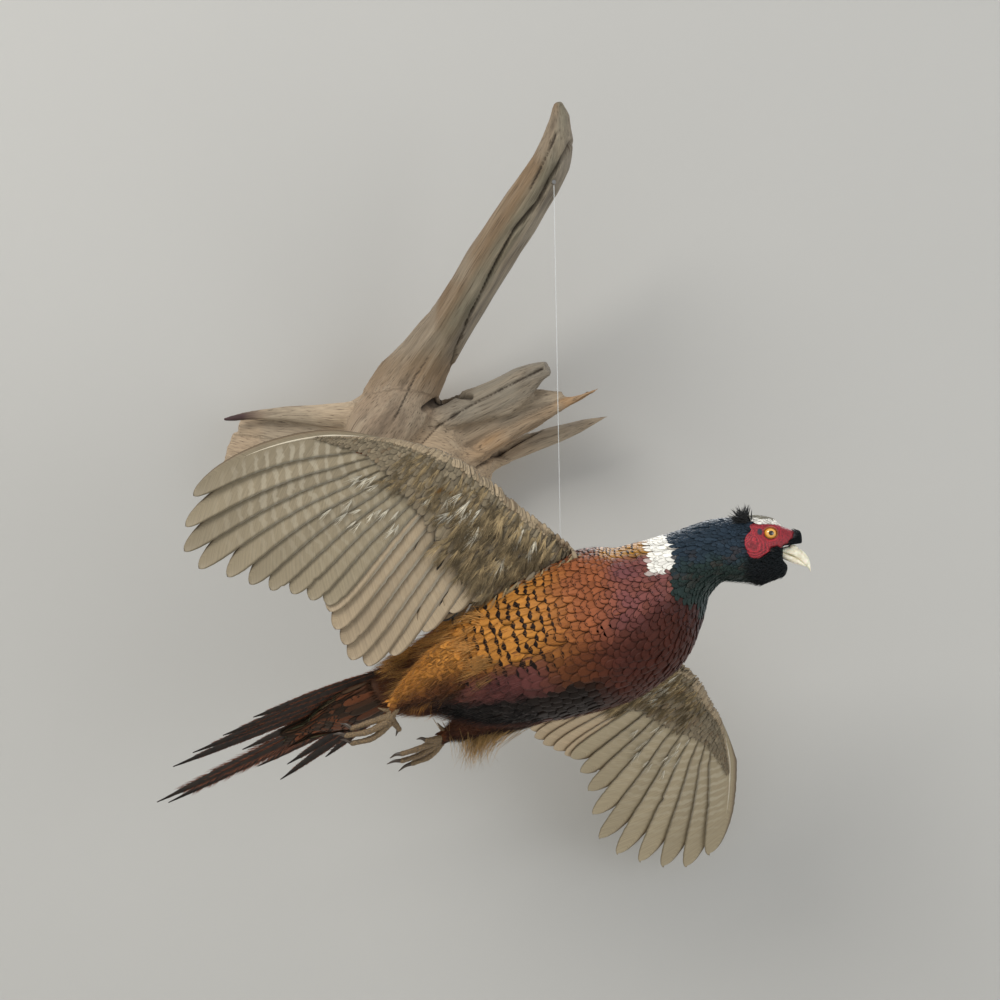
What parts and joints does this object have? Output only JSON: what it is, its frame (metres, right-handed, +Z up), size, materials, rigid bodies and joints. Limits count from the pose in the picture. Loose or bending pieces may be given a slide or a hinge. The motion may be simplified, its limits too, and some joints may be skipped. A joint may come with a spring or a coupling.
{
  "type": "taxidermy pheasant",
  "caption": "Mounted cock ring-necked pheasant in banking flight, held off a wall-hung piece of weathered driftwood.",
  "frame": {"origin": "on the driftwood's flat sawn back, the face that lies on the wall", "axes": "+Y into the wall, +Z up, +X along the wall towards the bird's head"},
  "size_m": [0.581, 0.3698, 0.72],
  "materials": {
    "driftwood": "weathered, bare, grey-brown",
    "steel": "plain wire and pressed plate",
    "nylon_line": "clear monofilament",
    "body_plumage": "feathers, copper and gold with dark tips",
    "neck_plumage": "iridescent green-black feathers",
    "wing_plumage": "grey-buff flight feathers and down",
    "tail_plumage": "dark brown and chestnut feathers",
    "bill_horn": "smooth horn, cream",
    "glass_eye": "polished, yellow iris",
    "leg_scales": "dry scaly skin",
    "claw_horn": "dark horn"
  },
  "bodies": {
    "root": {"driftwood_root": "driftwood", "driftwood_branch": "driftwood", "driftwood_slab": "driftwood", "driftwood_horn": "driftwood", "driftwood_prong_upper": "driftwood", "driftwood_prong_middle": "driftwood", "driftwood_prong_lower": "driftwood", "hanger_plate": "steel", "support_rod": "steel", "line_tack": "steel", "line_eyelet": "steel", "hanging_line": "nylon_line", "rump": "body_plumage", "trunk": "body_plumage", "thigh_right": "body_plumage", "thigh_left": "body_plumage", "neck": "neck_plumage", "head": "neck_plumage", "ear_tuft_right": "neck_plumage", "ear_tuft_left": "neck_plumage", "bill_upper": "bill_horn", "bill_lower": "bill_horn", "eye_right": "glass_eye", "eye_left": "glass_eye", "wing_right_arm": "wing_plumage", "wing_right_hand": "wing_plumage", "wing_right_primaries": "wing_plumage", "wing_right_secondaries": "wing_plumage", "wing_left_arm": "wing_plumage", "wing_left_hand": "wing_plumage", "wing_left_primaries": "wing_plumage", "wing_left_secondaries": "wing_plumage", "tail_coverts": "tail_plumage", "tail": "tail_plumage", "foot_right": "leg_scales", "foot_left": "leg_scales", "claw_right_inner": "claw_horn", "claw_right_middle": "claw_horn", "claw_right_outer": "claw_horn", "claw_right_hind": "claw_horn", "claw_left_inner": "claw_horn", "claw_left_middle": "claw_horn", "claw_left_outer": "claw_horn", "claw_left_hind": "claw_horn"}
  },
  "joints": []
}
